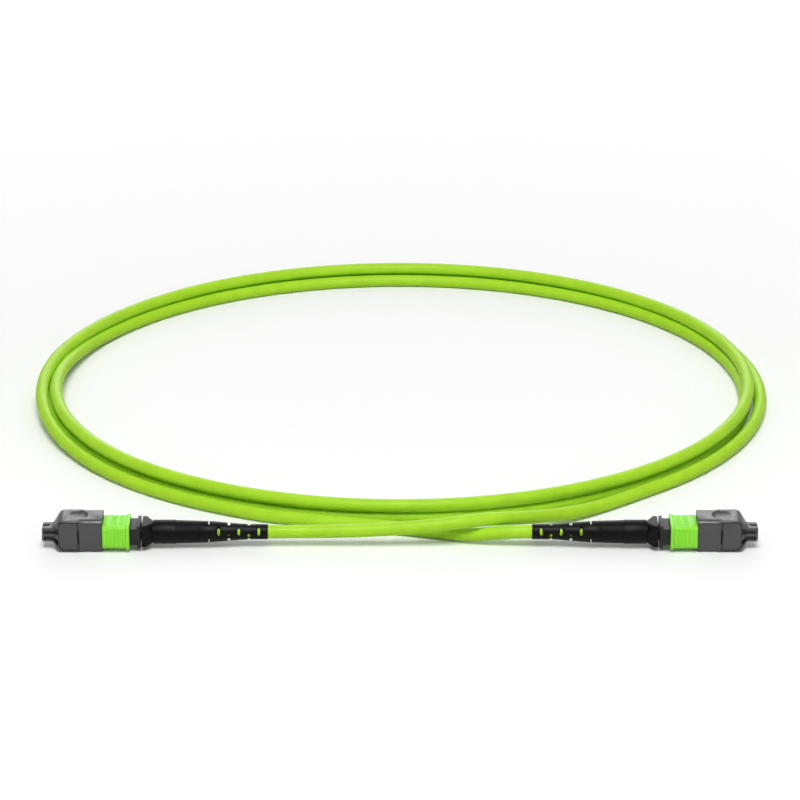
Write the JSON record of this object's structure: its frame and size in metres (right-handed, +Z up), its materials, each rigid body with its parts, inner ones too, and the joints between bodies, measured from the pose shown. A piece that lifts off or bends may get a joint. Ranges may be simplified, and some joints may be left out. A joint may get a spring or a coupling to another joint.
{
  "type": "multi-fibre push-on patch cord",
  "caption": "Coiled lime-green fibre patch cord with a push-on multi-fibre connector, slotted black boot and grey dust cap at each end.",
  "frame": {"origin": "on the table, midway between the two connectors, at the centre of the bounding box of the rigid parts", "axes": "+X out of the right-hand connector, +Y towards the coil, +Z up"},
  "size_m": [0.2588, 0.2771, 0.0109],
  "materials": {
    "cable_jacket": "semi-gloss extruded jacket",
    "sleeve_plastic": "satin moulded plastic",
    "cap_plastic": "fine-textured moulded plastic",
    "housing_plastic": "satin moulded plastic",
    "push_plastic": "satin moulded plastic",
    "boot_rubber": "smooth elastomer",
    "ferrule_plastic": "glass-filled moulding, ground end face",
    "keeper_metal": "stamped",
    "spring_steel": "drawn wire",
    "crimp_metal": "plated",
    "ribbon_coating": "clear acrylate coating"
  },
  "bodies": {
    "cord": {"left_inner_housing": "housing_plastic", "left_spring_push": "push_plastic", "left_crimp_ring": "crimp_metal", "left_boot": "boot_rubber", "left_cable_end": "cable_jacket", "left_sleeve_spring_near": "spring_steel", "left_sleeve_spring_far": "spring_steel", "left_ferrule_spring": "spring_steel", "right_inner_housing": "housing_plastic", "right_spring_push": "push_plastic", "right_crimp_ring": "crimp_metal", "right_boot": "boot_rubber", "right_cable_end": "cable_jacket", "right_sleeve_spring_near": "spring_steel", "right_sleeve_spring_far": "spring_steel", "right_ferrule_spring": "spring_steel", "cable_tail_left": "cable_jacket", "cable_tail_right": "cable_jacket", "cable_coil": "cable_jacket"},
    "left_cap": {"left_dust_cap": "cap_plastic"},
    "left_sleeve": {"left_coupling_sleeve": "sleeve_plastic"},
    "left_ferrule_group": {"left_ferrule": "ferrule_plastic", "left_ferrule_boot": "boot_rubber", "left_pin_keeper": "keeper_metal", "left_fibre_ribbon": "ribbon_coating"},
    "right_cap": {"right_dust_cap": "cap_plastic"},
    "right_sleeve": {"right_coupling_sleeve": "sleeve_plastic"},
    "right_ferrule_group": {"right_ferrule": "ferrule_plastic", "right_ferrule_boot": "boot_rubber", "right_pin_keeper": "keeper_metal", "right_fibre_ribbon": "ribbon_coating"}
  },
  "joints": [
    {"name": "left_cap_pull", "type": "slide", "parent": "cord", "child": "left_cap", "axis": [-1, 0, 0], "range_m": [0, 0.02]},
    {"name": "left_sleeve_slide", "type": "slide", "parent": "cord", "child": "left_sleeve", "axis": [1, 0, 0], "range_m": [0, 0.002], "stiffness_N_per_m": 300, "springref_m": -0.001, "deforming": ["left_sleeve_spring_near", "left_sleeve_spring_far"]},
    {"name": "left_ferrule_float", "type": "slide", "parent": "cord", "child": "left_ferrule_group", "axis": [1, 0, 0], "range_m": [0, 0.0008], "stiffness_N_per_m": 1000, "springref_m": -0.009, "deforming": ["left_ferrule_spring"]},
    {"name": "right_cap_pull", "type": "slide", "parent": "cord", "child": "right_cap", "axis": [1, 0, 0], "range_m": [0, 0.02]},
    {"name": "right_sleeve_slide", "type": "slide", "parent": "cord", "child": "right_sleeve", "axis": [-1, 0, 0], "range_m": [0, 0.002], "stiffness_N_per_m": 300, "springref_m": -0.001, "deforming": ["right_sleeve_spring_near", "right_sleeve_spring_far"]},
    {"name": "right_ferrule_float", "type": "slide", "parent": "cord", "child": "right_ferrule_group", "axis": [-1, 0, 0], "range_m": [0, 0.0008], "stiffness_N_per_m": 1000, "springref_m": -0.009, "deforming": ["right_ferrule_spring"]}
  ]
}
